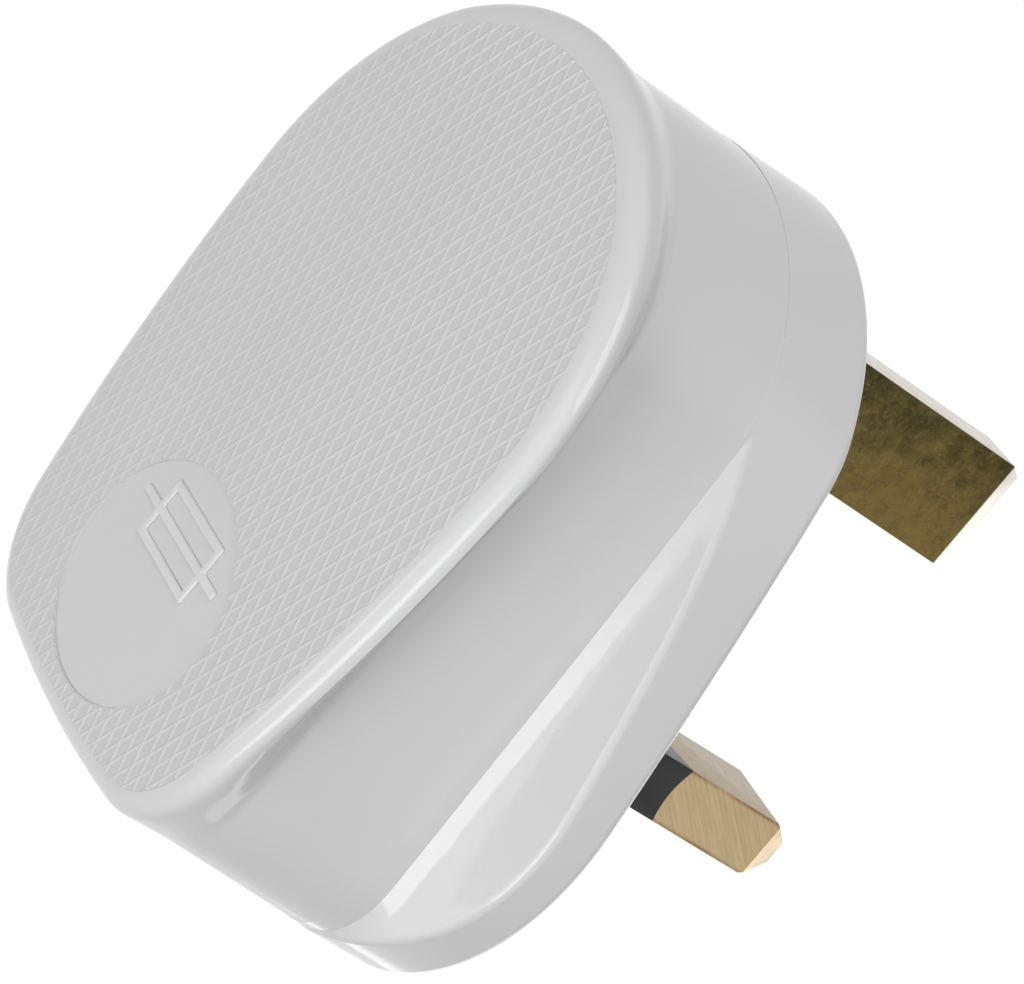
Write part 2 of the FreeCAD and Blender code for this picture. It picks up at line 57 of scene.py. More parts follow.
# Edges of a shell that bend further than this stay hard
SHELLS = {"base": math.radians(30), "cover": math.radians(48)}
EARTH_PIN = "earth_pin"
SLEEVED_PINS = {"live_pin": "live_pin_sleeve", "neutral_pin": "neutral_pin_sleeve"}
LIGHTS = ("front", "side", "fill", "window", "strip")
# The ridges run just past the flat of the back, onto the foot of its bead, and stop just short of the oval
FIELD_SPREAD = (1.0125, 1, 1.0135)
OVAL_SPREAD = (1.006, 1, 1.008)


class PlugBackSettings(bpy.types.PropertyGroup):
    """The ridged back of the cover."""

    depth: bpy.props.FloatProperty(
        name="Depth", description="From the pin face to the back, level with the live pin",
        unit="LENGTH", default=0.0209)
    tilt_line: bpy.props.FloatProperty(
        name="Tilt line", description="From the pin face to the line that the back tilts about",
        unit="LENGTH", default=0.0166)
    tilt: bpy.props.FloatProperty(
        name="Tilt", description="How far the back leans towards the cord end",
        subtype="ANGLE", default=math.radians(1.03))
    middle_height: bpy.props.FloatProperty(
        name="Middle", description="Height of the middle of the ridges", unit="LENGTH", default=0.0066)
    cell_half_width: bpy.props.FloatProperty(
        name="Cell half width", description="Half the width of a diamond between the ridges",
        unit="LENGTH", default=0.00067)
    cell_half_height: bpy.props.FloatProperty(
        name="Cell half height", description="Half the height of a diamond between the ridges",
        unit="LENGTH", default=0.001245)
    cells: bpy.props.IntProperty(
        name="Cells", description="Diamonds along each run of ridges, trimmed to the back later", default=54)
    ridge_top: bpy.props.FloatProperty(
        name="Ridge top", description="Half the width of a ridge's flat top", unit="LENGTH", default=0.00004)
    ridge_flank: bpy.props.FloatProperty(
        name="Ridge flank", description="Width of a ridge's sloping side", unit="LENGTH", default=0.00012)
    ridge_height: bpy.props.FloatProperty(
        name="Ridge height", description="How far the ridges stand up", unit="LENGTH", default=0.00006)
    oval_half_width: bpy.props.FloatProperty(
        name="Oval half width", description="Half the width of the sunk oval", unit="LENGTH", default=0.0099)
    oval_half_height: bpy.props.FloatProperty(
        name="Oval half height", description="Half the height of the sunk oval", unit="LENGTH",
        default=0.0075)
    oval_height: bpy.props.FloatProperty(
        name="Oval place", description="Height of the oval's middle", unit="LENGTH", default=-0.0095)
    oval_depth: bpy.props.FloatProperty(
        name="Oval depth", description="How far the oval is sunk", unit="LENGTH", default=0.00015)
    mark_stroke: bpy.props.FloatProperty(
        name="Mark stroke", description="Width of the lines of the fuse symbol", unit="LENGTH",
        default=0.0006)
    mark_height: bpy.props.FloatProperty(
        name="Mark relief", description="How far the fuse symbol stands up", unit="LENGTH", default=0.0002)
    mark_place: bpy.props.FloatProperty(
        name="Mark place", description="Height of the fuse symbol's middle", unit="LENGTH", default=-0.0062)


class PlugEdgeSettings(bpy.types.PropertyGroup):
    """Eased edges, and the joint between a pin and its sleeve."""

    metal_ease: bpy.props.FloatProperty(
        name="Metal edges", description="Width of the eased edges of the pins and screws", unit="LENGTH",
        default=0.00012)
    sleeve_ease: bpy.props.FloatProperty(
        name="Sleeve edges", description="Width of the eased edges of the sleeves", unit="LENGTH",
        default=0.00004)
    joint_reach: bpy.props.FloatProperty(
        name="Joint reach", description="How far the curved end of a sleeve reaches back", unit="LENGTH",
        default=0.0023)
    joint_share: bpy.props.FloatProperty(
        name="Joint curve", description="Share of a sleeve's curved end that is kept", subtype="FACTOR",
        default=0.55)


class PlugFinishSettings(bpy.types.PropertyGroup):
    """Colours of the materials."""

    plastic: bpy.props.FloatVectorProperty(
        name="Plastic", description="Colour of the moulded shells", subtype="COLOR",
        default=(0.684, 0.684, 0.686))
    sleeve: bpy.props.FloatVectorProperty(
        name="Sleeve", description="Colour of the pin sleeves", subtype="COLOR",
        default=(0.008, 0.0085, 0.008))
    brass: bpy.props.FloatVectorProperty(
        name="Brass", description="Colour of the pins' worn sides", subtype="COLOR",
        default=(0.455, 0.35, 0.197))
    # Painted reflection: a paler brass for the pins' flats, standing in for the light they mirror
    painted_pale_brass: bpy.props.FloatVectorProperty(
        name="Pale brass", description="Colour of the pins' polished faces", subtype="COLOR",
        default=(0.42, 0.345, 0.25))
    # Painted reflection in part: the broad sides' dark tone stands partly for the dark surroundings they
    # mirror, over real tarnish
    dark_tarnish_and_reflection: bpy.props.FloatVectorProperty(
        name="Patina", description="Darkest colour of the earth pin's broad sides", subtype="COLOR",
        default=(0.042, 0.036, 0.013))
    # Partly real tarnish and partly painted reflection, like the colour above
    gold_tarnish_and_reflection: bpy.props.FloatVectorProperty(
        name="Gold patina", description="Lightest colour of the earth pin's broad sides", subtype="COLOR",
        default=(0.172, 0.122, 0.037))
    patina_speck: bpy.props.FloatVectorProperty(
        name="Patina specks", description="Light specks on the earth pin's broad sides", subtype="COLOR",
        default=(0.23, 0.19, 0.085))
    patina_dirt: bpy.props.FloatVectorProperty(
        name="Patina dirt", description="Dark specks on the earth pin's broad sides", subtype="COLOR",
        default=(0.040, 0.036, 0.018))
    # The narrow sides are painted paler than the broad sides, whose dark tone is partly a painted reflection
    narrow_side_brass: bpy.props.FloatVectorProperty(
        name="Rubbed brass", description="Darkest colour of the earth pin's narrow sides", subtype="COLOR",
        default=(0.60, 0.55, 0.48))
    bright_brass: bpy.props.FloatVectorProperty(
        name="Bright brass", description="Lightest colour of the earth pin's narrow sides", subtype="COLOR",
        default=(0.70, 0.66, 0.60))
    edge_brown: bpy.props.FloatVectorProperty(
        name="Brown edges", description="Colour along the edges of the pins' sides", subtype="COLOR",
        default=(0.20, 0.105, 0.035))
    tip_brown: bpy.props.FloatVectorProperty(
        name="Brown tips", description="Colour of the worn tips of the pins", subtype="COLOR",
        default=(0.24, 0.145, 0.06))
    steel: bpy.props.FloatVectorProperty(
        name="Steel", description="Colour of the screws and fuse caps", subtype="COLOR",
        default=(0.56, 0.55, 0.53))
    ceramic: bpy.props.FloatVectorProperty(
        name="Ceramic", description="Colour of the fuse barrel", subtype="COLOR", default=(0.70, 0.66, 0.58))
    fibre: bpy.props.FloatVectorProperty(
        name="Fibre", description="Colour of the cord grip bar and the washer", subtype="COLOR",
        default=(0.17, 0.035, 0.018))


class PlugStageSettings(bpy.types.PropertyGroup):
    """Floor, light and camera."""

    camera_place: bpy.props.FloatVectorProperty(
        name="Camera place", description="Where the camera stands", subtype="XYZ", unit="LENGTH",
        default=(0.25899, -0.17623, 0.06377))
    camera_aim: bpy.props.FloatVectorProperty(
        name="Camera aim", description="The point in the middle of the picture", subtype="XYZ", unit="LENGTH",
        default=(-0.0033, -0.00286, 0.00644))
    camera_roll: bpy.props.FloatProperty(
        name="Camera roll", description="Turn of the camera about its line of sight", subtype="ANGLE",
        default=math.radians(39.486))
    camera_lens: bpy.props.FloatProperty(
        name="Lens", description="Focal length on a 36 mm wide sensor, in millimetres", default=184.6)
    surround: bpy.props.FloatProperty(
        name="Surround", description="Strength of the even light from all round", default=0.31)
    front_power: bpy.props.FloatProperty(
        name="Front light", description="Power of the soft light before the back", subtype="POWER",
        unit="POWER", default=1.22)
    front_size: bpy.props.FloatProperty(
        name="Front light size", description="Width of the soft light before the back", unit="LENGTH",
        default=0.7)
    front_place: bpy.props.FloatVectorProperty(
        name="Front light place", description="Where the soft light before the back stands", subtype="XYZ",
        unit="LENGTH", default=(0.174, -0.558, -0.150))
    side_power: bpy.props.FloatProperty(
        name="Side light", description="Power of the soft light beside the live pin", subtype="POWER",
        unit="POWER", default=1.7)
    side_size: bpy.props.FloatProperty(
        name="Side light size", description="Width of the soft light beside the live pin", unit="LENGTH",
        default=0.45)
    side_place: bpy.props.FloatVectorProperty(
        name="Side light place", description="Where the soft light beside the live pin stands", subtype="XYZ",
        unit="LENGTH", default=(0.42, -0.18, 0.384))
    window_power: bpy.props.FloatProperty(
        name="Window light", description="Power of the small light that the finger ledge mirrors",
        subtype="POWER", unit="POWER", default=0.45)
    window_size: bpy.props.FloatProperty(
        name="Window light size", description="Width of the small light before the ledge", unit="LENGTH",
        default=0.19)
    window_place: bpy.props.FloatVectorProperty(
        name="Window light place", description="Where the small light before the ledge stands", subtype="XYZ",
        unit="LENGTH", default=(0.25, -0.39, -0.185))
    strip_power: bpy.props.FloatProperty(
        name="Strip light", description="Power of the small light that the bead mirrors",
        subtype="POWER", unit="POWER", default=0.05)
    strip_size: bpy.props.FloatProperty(
        name="Strip light size", description="Width of the small light before the bead", unit="LENGTH",
        default=0.08)
    strip_place: bpy.props.FloatVectorProperty(
        name="Strip light place", description="Where the small light before the bead stands", subtype="XYZ",
        unit="LENGTH", default=(-0.15, -0.455, -0.14))
    fill_power: bpy.props.FloatProperty(
        name="Fill light", description="Power of the soft light before the pins", subtype="POWER",
        unit="POWER", default=0.9)
    fill_size: bpy.props.FloatProperty(
        name="Fill light size", description="Width of the soft light before the pins", unit="LENGTH",
        default=0.5)
    fill_place: bpy.props.FloatVectorProperty(
        name="Fill light place", description="Where the soft light before the pins stands", subtype="XYZ",
        unit="LENGTH", default=(-0.15, 0.5, -0.25))
    floor_height: bpy.props.FloatProperty(
        name="Floor", description="Height of the floor", unit="LENGTH", default=-0.45)


def deselect_all():
    if bpy.context.object and bpy.context.object.mode != "OBJECT":
        bpy.ops.object.mode_set(mode="OBJECT")
    bpy.ops.object.select_all(action="DESELECT")


def make_active(obj):
    deselect_all()
    obj.select_set(True)
    bpy.context.view_layer.objects.active = obj


def select_faces(obj, wanted):
    """Leave only the faces that pass a test on their middle and normal selected."""
    bpy.ops.object.mode_set(mode="EDIT")
    bpy.ops.mesh.select_mode(type="FACE")
    bpy.ops.mesh.select_all(action="DESELECT")
    bpy.ops.object.mode_set(mode="OBJECT")
    for face in obj.data.polygons:
        face.select = wanted(face.center, face.normal)
    bpy.ops.object.mode_set(mode="EDIT")


def select_points(obj, wanted):
    """Leave only the vertices that pass a test on their place selected."""
    bpy.ops.object.mode_set(mode="EDIT")
    bpy.ops.mesh.select_mode(type="VERT")
    bpy.ops.mesh.select_all(action="DESELECT")
    bpy.ops.object.mode_set(mode="OBJECT")
    for point in obj.data.vertices:
        point.select = wanted(point.co)
    bpy.ops.object.mode_set(mode="EDIT")


def apply_modifier(obj, kind, **values):
    modifier = obj.modifiers.new(kind.lower(), kind)
    for name, value in values.items():
        setattr(modifier, name, value)
    bpy.ops.object.modifier_apply(modifier=modifier.name)


def node_copy(node, name):
    """A copy of a CAD node with its loose triangles merged."""
    mesh = frame["nodes"][node].data.copy()
    mesh.name = name
    obj = bpy.data.objects.new(name, mesh)
    bpy.context.scene.collection.objects.link(obj)
    make_active(obj)
    bpy.ops.mesh.customdata_custom_splitnormals_clear()
    bpy.ops.object.mode_set(mode="EDIT")
    bpy.ops.mesh.select_all(action="SELECT")
    bpy.ops.mesh.remove_doubles(threshold=1e-7)
    bpy.ops.object.mode_set(mode="OBJECT")
    return obj


def eased_copy(node, width, sleeve_end=None):
    """A copy of a flat-sided CAD node with its hard edges eased, and a flatter joint where a sleeve ends."""
    obj = node_copy(node, node + "_eased")
    bpy.ops.object.mode_set(mode="EDIT")
    bpy.ops.mesh.select_all(action="SELECT")
    bpy.ops.mesh.dissolve_limited(angle_limit=math.radians(1))
    bpy.ops.object.mode_set(mode="OBJECT")
    if sleeve_end:
        edges = bpy.context.scene.plug_edges
        joint_start = sleeve_end - edges.joint_reach
        select_points(obj, lambda place: joint_start < place.y < sleeve_end + 0.00001)
        bpy.ops.transform.resize(value=(1, edges.joint_share, 1), center_override=(0, sleeve_end, 0))
        bpy.ops.object.mode_set(mode="OBJECT")
    apply_modifier(obj, "BEVEL", width=width, segments=2, limit_method="ANGLE", angle_limit=math.radians(28),
                   harden_normals=False)
    bpy.ops.object.shade_smooth_by_angle(angle=math.radians(35))
    return obj


def set_material(obj, material):
    obj.data.materials.clear()
    obj.data.materials.append(material)


def add_to_body(obj, material):
    set_material(obj, material)
    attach(obj, BODY)


def stand_for(obj, node, material):
    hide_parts(node)
    add_to_body(obj, material)


def back_normal(settings):
    """The direction that the back faces."""
    return Matrix.Rotation(-settings.tilt, 3, "X") @ Vector((0, -1, 0))


def oval_share(settings, place):
    """How far a point is from the oval's middle, where 1 is the oval's edge."""
    return math.hypot(place.x / settings.oval_half_width,
                      (place.z - settings.oval_height) / settings.oval_half_height)


def lean_with_back(obj, settings):
    """Turn a piece that was made flat about the tilt line, and keep its place in its mesh."""
    make_active(obj)
    obj.location = (0, -settings.tilt_line, 0)
    obj.rotation_euler = (-settings.tilt, 0, 0)
    bpy.ops.object.transform_apply(location=True, rotation=True, scale=True)


def new_finish(name):
    material = bpy.data.materials.get(name)
    if material:
        return material, None, None
    material = bpy.data.materials.new(name)
    material.use_nodes = True
    tree = material.node_tree
    return material, tree, tree.nodes["Principled BSDF"]


def add_node(tree, kind, values=None, **settings):
    made = tree.nodes.new(kind)
    for name, value in settings.items():
        setattr(made, name, value)
    for name, value in (values or {}).items():
        if hasattr(value, "is_linked"):
            tree.links.new(value, made.inputs[name])
        else:
            made.inputs[name].default_value = value
    return made


def place_on_object(tree, location=(0, 0, 0), turn=0.0, grain=(1, 1, 1)):
    """Object coordinates from a given point, turned about X and then divided by the size of the grain."""
    coordinates = add_node(tree, "ShaderNodeTexCoord")
    mapping = add_node(tree, "ShaderNodeMapping", {
        "Vector": coordinates.outputs["Object"], "Location": location, "Rotation": (turn, 0, 0),
        "Scale": grain}, vector_type="TEXTURE")
    return mapping.outputs["Vector"]


def facing(tree, axis):
    """How far the surface faces along an axis of the object, either way."""
    coordinates = add_node(tree, "ShaderNodeTexCoord")
    axes = add_node(tree, "ShaderNodeSeparateXYZ", {"Vector": coordinates.outputs["Normal"]})
    return maths(tree, "ABSOLUTE", axes.outputs[axis])


def mottle(tree, place, scale, detail=2.0, roughness=0.5):
    made = add_node(tree, "ShaderNodeTexNoise", {
        "Vector": place, "Scale": scale, "Detail": detail, "Roughness": roughness})
    return made.outputs["Fac"]


def between(tree, value, low, high, first=0.0, last=1.0):
    """A smooth step from first to last as a value goes from low to high."""
    made = add_node(tree, "ShaderNodeMapRange", {
        "Value": value, "From Min": low, "From Max": high, "To Min": first, "To Max": last},
        interpolation_type="SMOOTHSTEP")
    return made.outputs["Result"]


def maths(tree, operation, first, second=0.0):
    made = add_node(tree, "ShaderNodeMath", operation=operation)
    for socket, value in zip(made.inputs, (first, second)):
        if hasattr(value, "is_linked"):
            tree.links.new(value, socket)
        else:
            socket.default_value = value
    return made.outputs["Value"]


def blended(tree, share, first, second):
    """A colour that goes from the first to the second as a share goes from 0 to 1."""
    made = add_node(tree, "ShaderNodeMix", data_type="RGBA")
    tree.links.new(share, made.inputs[0])
    for socket, value in ((made.inputs[6], first), (made.inputs[7], second)):
        if hasattr(value, "is_linked"):
            tree.links.new(value, socket)
        else:
            socket.default_value = (*value, 1)
    return made.outputs[2]


def shade(color, factor):
    return tuple(channel * factor for channel in color)


def add_bump(tree, shader, height, strength, distance):
    bump = add_node(tree, "ShaderNodeBump", {"Height": height, "Strength": strength, "Distance": distance})
    tree.links.new(bump.outputs["Normal"], shader.inputs["Normal"])


def sunk_oval_mask(tree):
    """1 on the oval of the back and 0 round it."""
    back = bpy.context.scene.plug_back
    place = place_on_object(tree, location=(0, 0, back.oval_height),
                            grain=(back.oval_half_width, 1, back.oval_half_height))
    axes = add_node(tree, "ShaderNodeSeparateXYZ", {"Vector": place})
    across = maths(tree, "POWER", maths(tree, "ABSOLUTE", axes.outputs["X"]), 2.0)
    along = maths(tree, "POWER", maths(tree, "ABSOLUTE", axes.outputs["Z"]), 2.0)
    inside = between(tree, maths(tree, "ADD", across, along), 1.05, 1.0)
    on_back = between(tree, axes.outputs["Y"], -0.019, -0.0195)
    return maths(tree, "MULTIPLY", inside, on_back)


def plastic_finish(name="white_plastic", painted_lightness=1.0):
    material, tree, shader = new_finish(name)
    if tree:
        # painted_lightness makes lit and shaded copies of the one plastic: painted shade on the ridged field,
        # a painted highlight on the fuse symbol
        color = shade(bpy.context.scene.plug_finish.plastic, painted_lightness)
        place = place_on_object(tree)
        cloud = mottle(tree, place, 55, 3)
        grain = mottle(tree, place, 2600, 2)
        tone = blended(tree, between(tree, cloud, 0.3, 0.7), shade(color, 0.985), shade(color, 1.012))
        # Painted sheen: the smooth oval gets a tone of its own, set to how it takes the light, not to a
        # different plastic
        tone = blended(tree, sunk_oval_mask(tree), tone, shade(color, 0.98))
        tree.links.new(tone, shader.inputs["Base Color"])
        tree.links.new(between(tree, cloud, 0.3, 0.7, 0.10, 0.14), shader.inputs["Roughness"])
        shader.inputs["IOR"].default_value = 1.48
        add_bump(tree, shader, grain, 0.12, 0.00001)
    return material


def sleeve_finish():
    material, tree, shader = new_finish("black_sleeve")
    if tree:
        color = tuple(bpy.context.scene.plug_finish.sleeve)
        place = place_on_object(tree)
        cloud = mottle(tree, place, 420, 3)
        grain = mottle(tree, place, 5000, 2)
        tone = blended(tree, between(tree, cloud, 0.35, 0.65), shade(color, 0.7), shade(color, 1.6))
        tree.links.new(tone, shader.inputs["Base Color"])
        tree.links.new(between(tree, cloud, 0.3, 0.7, 0.28, 0.42), shader.inputs["Roughness"])
        shader.inputs["IOR"].default_value = 1.38
        add_bump(tree, shader, grain, 0.15, 0.00001)
    return material


def brushed_pin_finish(name, middle_x):
    """Brass with fine slanting brush lines on its sides, browned along its edges, and paler on its flats as a
    painted reflection.
    """
    material, tree, shader = new_finish(name)
    if tree:
        finish = bpy.context.scene.plug_finish
        place = place_on_object(tree, location=(middle_x, 0, 0))
        axes = add_node(tree, "ShaderNodeSeparateXYZ", {"Vector": place})
        over = maths(tree, "ABSOLUTE", axes.outputs["Z"])
        lines = mottle(tree, place_on_object(
            tree, turn=math.radians(-38), grain=(0.0016, 0.005, 0.00015)), 1, 4, 0.6)
        cloud = mottle(tree, place, 260, 4, 0.6)
        on_side = between(tree, facing(tree, "Z"), 0.75, 0.5)
        side = blended(tree, between(tree, lines, 0.34, 0.66), shade(finish.brass, 0.90),
                       shade(finish.brass, 1.10))
        # Painted reflection: the flats facing up and down get a paler brass than the sides, standing in for
        # the light they mirror
        flat = blended(tree, between(tree, cloud, 0.35, 0.68), shade(finish.painted_pale_brass, 0.95),
                       shade(finish.painted_pale_brass, 1.05))
        color = blended(tree, on_side, flat, side)
        brown = maths(tree, "MULTIPLY", between(tree, over, 0.00165, 0.00193), on_side)
        brown = maths(tree, "MULTIPLY", brown, between(tree, cloud, 0.38, 0.6, 0.25, 0.8))
        color = blended(tree, brown, color, finish.edge_brown)
        worn_tip = maths(tree, "MULTIPLY", between(tree, axes.outputs["Y"], 0.0155, 0.0172),
                         between(tree, cloud, 0.42, 0.6, 0.0, 0.7))
        color = blended(tree, worn_tip, color, finish.tip_brown)
        tree.links.new(color, shader.inputs["Base Color"])
        shader.inputs["Metallic"].default_value = 1.0
        tree.links.new(between(tree, lines, 0.3, 0.7, 0.30, 0.42), shader.inputs["Roughness"])
        add_bump(tree, shader, lines, 0.2, 0.000012)
    return material


def earth_pin_finish():
    """Brass whose broad sides are dark and mottled, partly real tarnish specks and partly a painted dark
    reflection, with paler narrow sides.
    """
    material, tree, shader = new_finish("patinated_brass")
    if tree:
        finish = bpy.context.scene.plug_finish
        place = place_on_object(tree)
        axes = add_node(tree, "ShaderNodeSeparateXYZ", {"Vector": place})
        across = maths(tree, "ABSOLUTE", axes.outputs["X"])
        cloud = mottle(tree, place, 850, 6, 0.75)
        speck = mottle(tree, place, 3600, 4, 0.7)
        # The broad sides are painted darker towards the top and lighter towards the tip
        low = between(tree, axes.outputs["Z"], 0.0262, 0.0182, -0.14, 0.16)
        out = between(tree, axes.outputs["Y"], 0.001, 0.018, -0.08, 0.1)
        gold = maths(tree, "ADD", maths(tree, "ADD", cloud, low), out)
        # Painted reflection in part: the dark tone of the broad sides stands partly for the dark surroundings
        # they mirror; the specks are real tarnish
        side = blended(tree, between(tree, gold, 0.22, 0.86), finish.dark_tarnish_and_reflection, finish.gold_tarnish_and_reflection)
        side = blended(tree, between(tree, speck, 0.54, 0.70, 0.0, 0.4), side, finish.patina_speck)
        side = blended(tree, between(tree, speck, 0.46, 0.30, 0.0, 0.45), side, finish.patina_dirt)
        # The narrow sides keep a paler brass than the broad sides
        bright = blended(tree, between(tree, cloud, 0.3, 0.7), finish.narrow_side_brass, finish.bright_brass)
        on_side = between(tree, across, 0.00184, 0.00194)
        tree.links.new(blended(tree, on_side, bright, side), shader.inputs["Base Color"])
        shader.inputs["Metallic"].default_value = 1.0
        tree.links.new(between(tree, speck, 0.3, 0.7, 0.34, 0.5), shader.inputs["Roughness"])
        add_bump(tree, shader, speck, 0.25, 0.000015)
    return material


def brass_finish():
    material, tree, shader = new_finish("plain_brass")
    if tree:
        color = tuple(bpy.context.scene.plug_finish.brass)
        place = place_on_object(tree)
        cloud = mottle(tree, place, 300, 4, 0.6)
        tone = blended(tree, between(tree, cloud, 0.3, 0.7), shade(color, 0.85), shade(color, 1.15))
        tree.links.new(tone, shader.inputs["Base Color"])
        shader.inputs["Metallic"].default_value = 1.0
        tree.links.new(between(tree, cloud, 0.3, 0.7, 0.28, 0.4), shader.inputs["Roughness"])
        add_bump(tree, shader, mottle(tree, place, 4000, 2), 0.15, 0.00001)
    return material


def steel_finish():
    material, tree, shader = new_finish("plated_steel")
    if tree:
        color = tuple(bpy.context.scene.plug_finish.steel)
        lines = mottle(tree, place_on_object(tree, grain=(0.0002, 0.0011, 0.0014)), 1, 3, 0.6)
        cloud = mottle(tree, place_on_object(tree), 380, 3)
        tone = blended(tree, between(tree, cloud, 0.3, 0.7), shade(color, 0.88), shade(color, 1.08))
        tree.links.new(tone, shader.inputs["Base Color"])
        shader.inputs["Metallic"].default_value = 1.0
        tree.links.new(between(tree, lines, 0.3, 0.7, 0.25, 0.4), shader.inputs["Roughness"])
        add_bump(tree, shader, lines, 0.15, 0.00001)
    return material


def ceramic_finish():
    material, tree, shader = new_finish("fuse_ceramic")
    if tree:
        color = tuple(bpy.context.scene.plug_finish.ceramic)
        place = place_on_object(tree)
        cloud = mottle(tree, place, 350, 4)
        tone = blended(tree, between(tree, cloud, 0.3, 0.7), shade(color, 0.93), shade(color, 1.05))
        tree.links.new(tone, shader.inputs["Base Color"])
        tree.links.new(between(tree, cloud, 0.3, 0.7, 0.5, 0.65), shader.inputs["Roughness"])
        add_bump(tree, shader, mottle(tree, place, 3000, 3), 0.2, 0.00001)
    return material


def fibre_finish():
    material, tree, shader = new_finish("red_fibre")
    if tree:
        color = tuple(bpy.context.scene.plug_finish.fibre)
        strands = mottle(tree, place_on_object(tree, grain=(0.002, 0.00033, 0.00033)), 1, 4, 0.65)
        tone = blended(tree, between(tree, strands, 0.3, 0.7), shade(color, 0.75), shade(color, 1.3))
        tree.links.new(tone, shader.inputs["Base Color"])
        tree.links.new(between(tree, strands, 0.3, 0.7, 0.55, 0.75), shader.inputs["Roughness"])
        add_bump(tree, shader, strands, 0.25, 0.00002)
    return material


class PLUG_OT_shells(bpy.types.Operator):
    """Finish the moulded base and cover"""

    bl_idname = "plug.shells"
    bl_label = "Base and cover"

    def execute(self, context):
        for node, rounding in SHELLS.items():
            shell = node_copy(node, node + "_moulding")
            bpy.ops.object.shade_smooth_by_angle(angle=rounding)
            broad = shell.vertex_groups.new(name="broad_faces")
            broad.add([point.index for point in shell.data.vertices
                       if not self.on_bead(context.scene.plug_back, point.co)], 1.0, "REPLACE")
            apply_modifier(shell, "WEIGHTED_NORMAL", mode="FACE_AREA", weight=50, keep_sharp=True,
                           vertex_group=broad.name)
            shell.vertex_groups.clear()
            stand_for(shell, node, plastic_finish())
        return {"FINISHED"}

    def on_bead(self, settings, place):
        """Whether a point is on the flare or the bead round the back, between the wall and the flat."""
        out = back_normal(settings).dot(place - Vector((0, -settings.tilt_line, 0)))
        on_edge = 0.00005 < out < settings.depth - settings.tilt_line - 0.00005
        return on_edge and oval_share(settings, place) > 1.05


class PLUG_OT_back_ridges(bpy.types.Operator):
    """Mould the crossed ridges on the back of the cover, up to its bead and round its oval"""

    bl_idname = "plug.back_ridges"
    bl_label = "Ridges on the back"

    def execute(self, context):
        settings = context.scene.plug_back
        ridges = self.diamond_slab(settings)
        lean_with_back(ridges, settings)
        field = self.field_of_back(settings)
        make_active(ridges)
        apply_modifier(ridges, "BOOLEAN", operation="INTERSECT", solver="EXACT", object=field)
        bpy.data.objects.remove(field)
        if len(ridges.data.polygons) < 1000:
            raise RuntimeError("the ridges were not trimmed to the back")
        bpy.ops.object.shade_smooth_by_angle(angle=math.radians(20))
        # Painted shade: the ridged field is a darker copy of the plastic, standing in for the shade between
        # its ridges and their duller sheen
        add_to_body(ridges, plastic_finish("ridged_plastic", 0.915))
        return {"FINISHED"}

    def diamond_slab(self, settings):
        """A slab of diamonds between crossed ridges, larger than the back and measured from the tilt line."""
        half_width = settings.cell_half_width
        half_height = settings.cell_half_height
        count = settings.cells
        clear, foot, touching = 0.00001, 0.0003, 0.000002
        floor_y = settings.tilt_line - settings.depth - clear
        deselect_all()
        bpy.ops.mesh.primitive_circle_add(vertices=4, radius=1, fill_type="NGON",
                                          rotation=(math.pi / 2, 0, 0))
        slab = bpy.context.object
        slab.name = slab.data.name = "back_ridges"
        slab.scale = (half_width, half_height, 1)
        bpy.ops.object.transform_apply(location=True, rotation=True, scale=True)
        slab.location = (-(count - 1) * half_width, floor_y - settings.ridge_height, settings.middle_height)
        bpy.ops.object.transform_apply(location=True, rotation=True, scale=True)
        if slab.data.polygons[0].normal.y > 0:
            slab.data.flip_normals()
        bpy.ops.object.mode_set(mode="EDIT")
        bpy.ops.mesh.select_mode(type="FACE")
        bpy.ops.mesh.select_all(action="SELECT")
        bpy.ops.mesh.inset(thickness=settings.ridge_top, depth=0)
        bpy.ops.mesh.inset(thickness=settings.ridge_flank, depth=-settings.ridge_height)
        bpy.ops.object.mode_set(mode="OBJECT")
        for rise in (half_height, -half_height):
            apply_modifier(slab, "ARRAY", count=count, use_relative_offset=False, use_constant_offset=True,
                           constant_offset_displace=(half_width, 0, rise), use_merge_vertices=True,
                           merge_threshold=touching)
        low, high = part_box("cover")
        margin = 0.001
        select_faces(slab, lambda middle, normal: middle.x < low[0] - margin or middle.x > high[0] + margin
                     or middle.z < low[2] - margin or middle.z > high[2] + margin)
        bpy.ops.mesh.delete(type="FACE")
        bpy.ops.mesh.select_all(action="SELECT")
        bpy.ops.mesh.remove_doubles(threshold=touching)
        bpy.ops.mesh.select_all(action="SELECT")
        bpy.ops.mesh.extrude_region_move(TRANSFORM_OT_translate={"value": (0, foot, 0)})
        bpy.ops.transform.resize(value=(1, 0, 1), center_override=(0, floor_y + foot, 0))
        bpy.ops.mesh.select_all(action="SELECT")
        bpy.ops.mesh.normals_make_consistent(inside=False)
        bpy.ops.object.mode_set(mode="OBJECT")
        return slab

    def field_of_back(self, settings):
        """A thick plate with the outline of the flat of the back and a hole for the oval."""
        field = node_copy("cover", "field_of_back")
        outward = back_normal(settings)
        line = Vector((0, -settings.tilt_line, 0))
        reach = settings.depth - settings.tilt_line
        select_faces(field, lambda middle, normal: normal.dot(outward) < 0.9999
                     or abs((middle - line).dot(outward) - reach) > 0.00002)
        bpy.ops.mesh.delete(type="FACE")
        bpy.ops.mesh.select_all(action="SELECT")
        bpy.ops.mesh.remove_doubles(threshold=1e-6)
        select_points(field, lambda place: oval_share(settings, place) < 1.02)
        bpy.ops.transform.resize(value=OVAL_SPREAD, center_override=(0, 0, settings.oval_height))
        select_points(field, lambda place: oval_share(settings, place) > 1.04)
        top = max(point.co.z for point in field.data.vertices)
        bpy.ops.transform.resize(value=FIELD_SPREAD, center_override=(0, 0, top))
        bpy.ops.object.mode_set(mode="OBJECT")
        apply_modifier(field, "SOLIDIFY", thickness=0.001, offset=0)
        return field


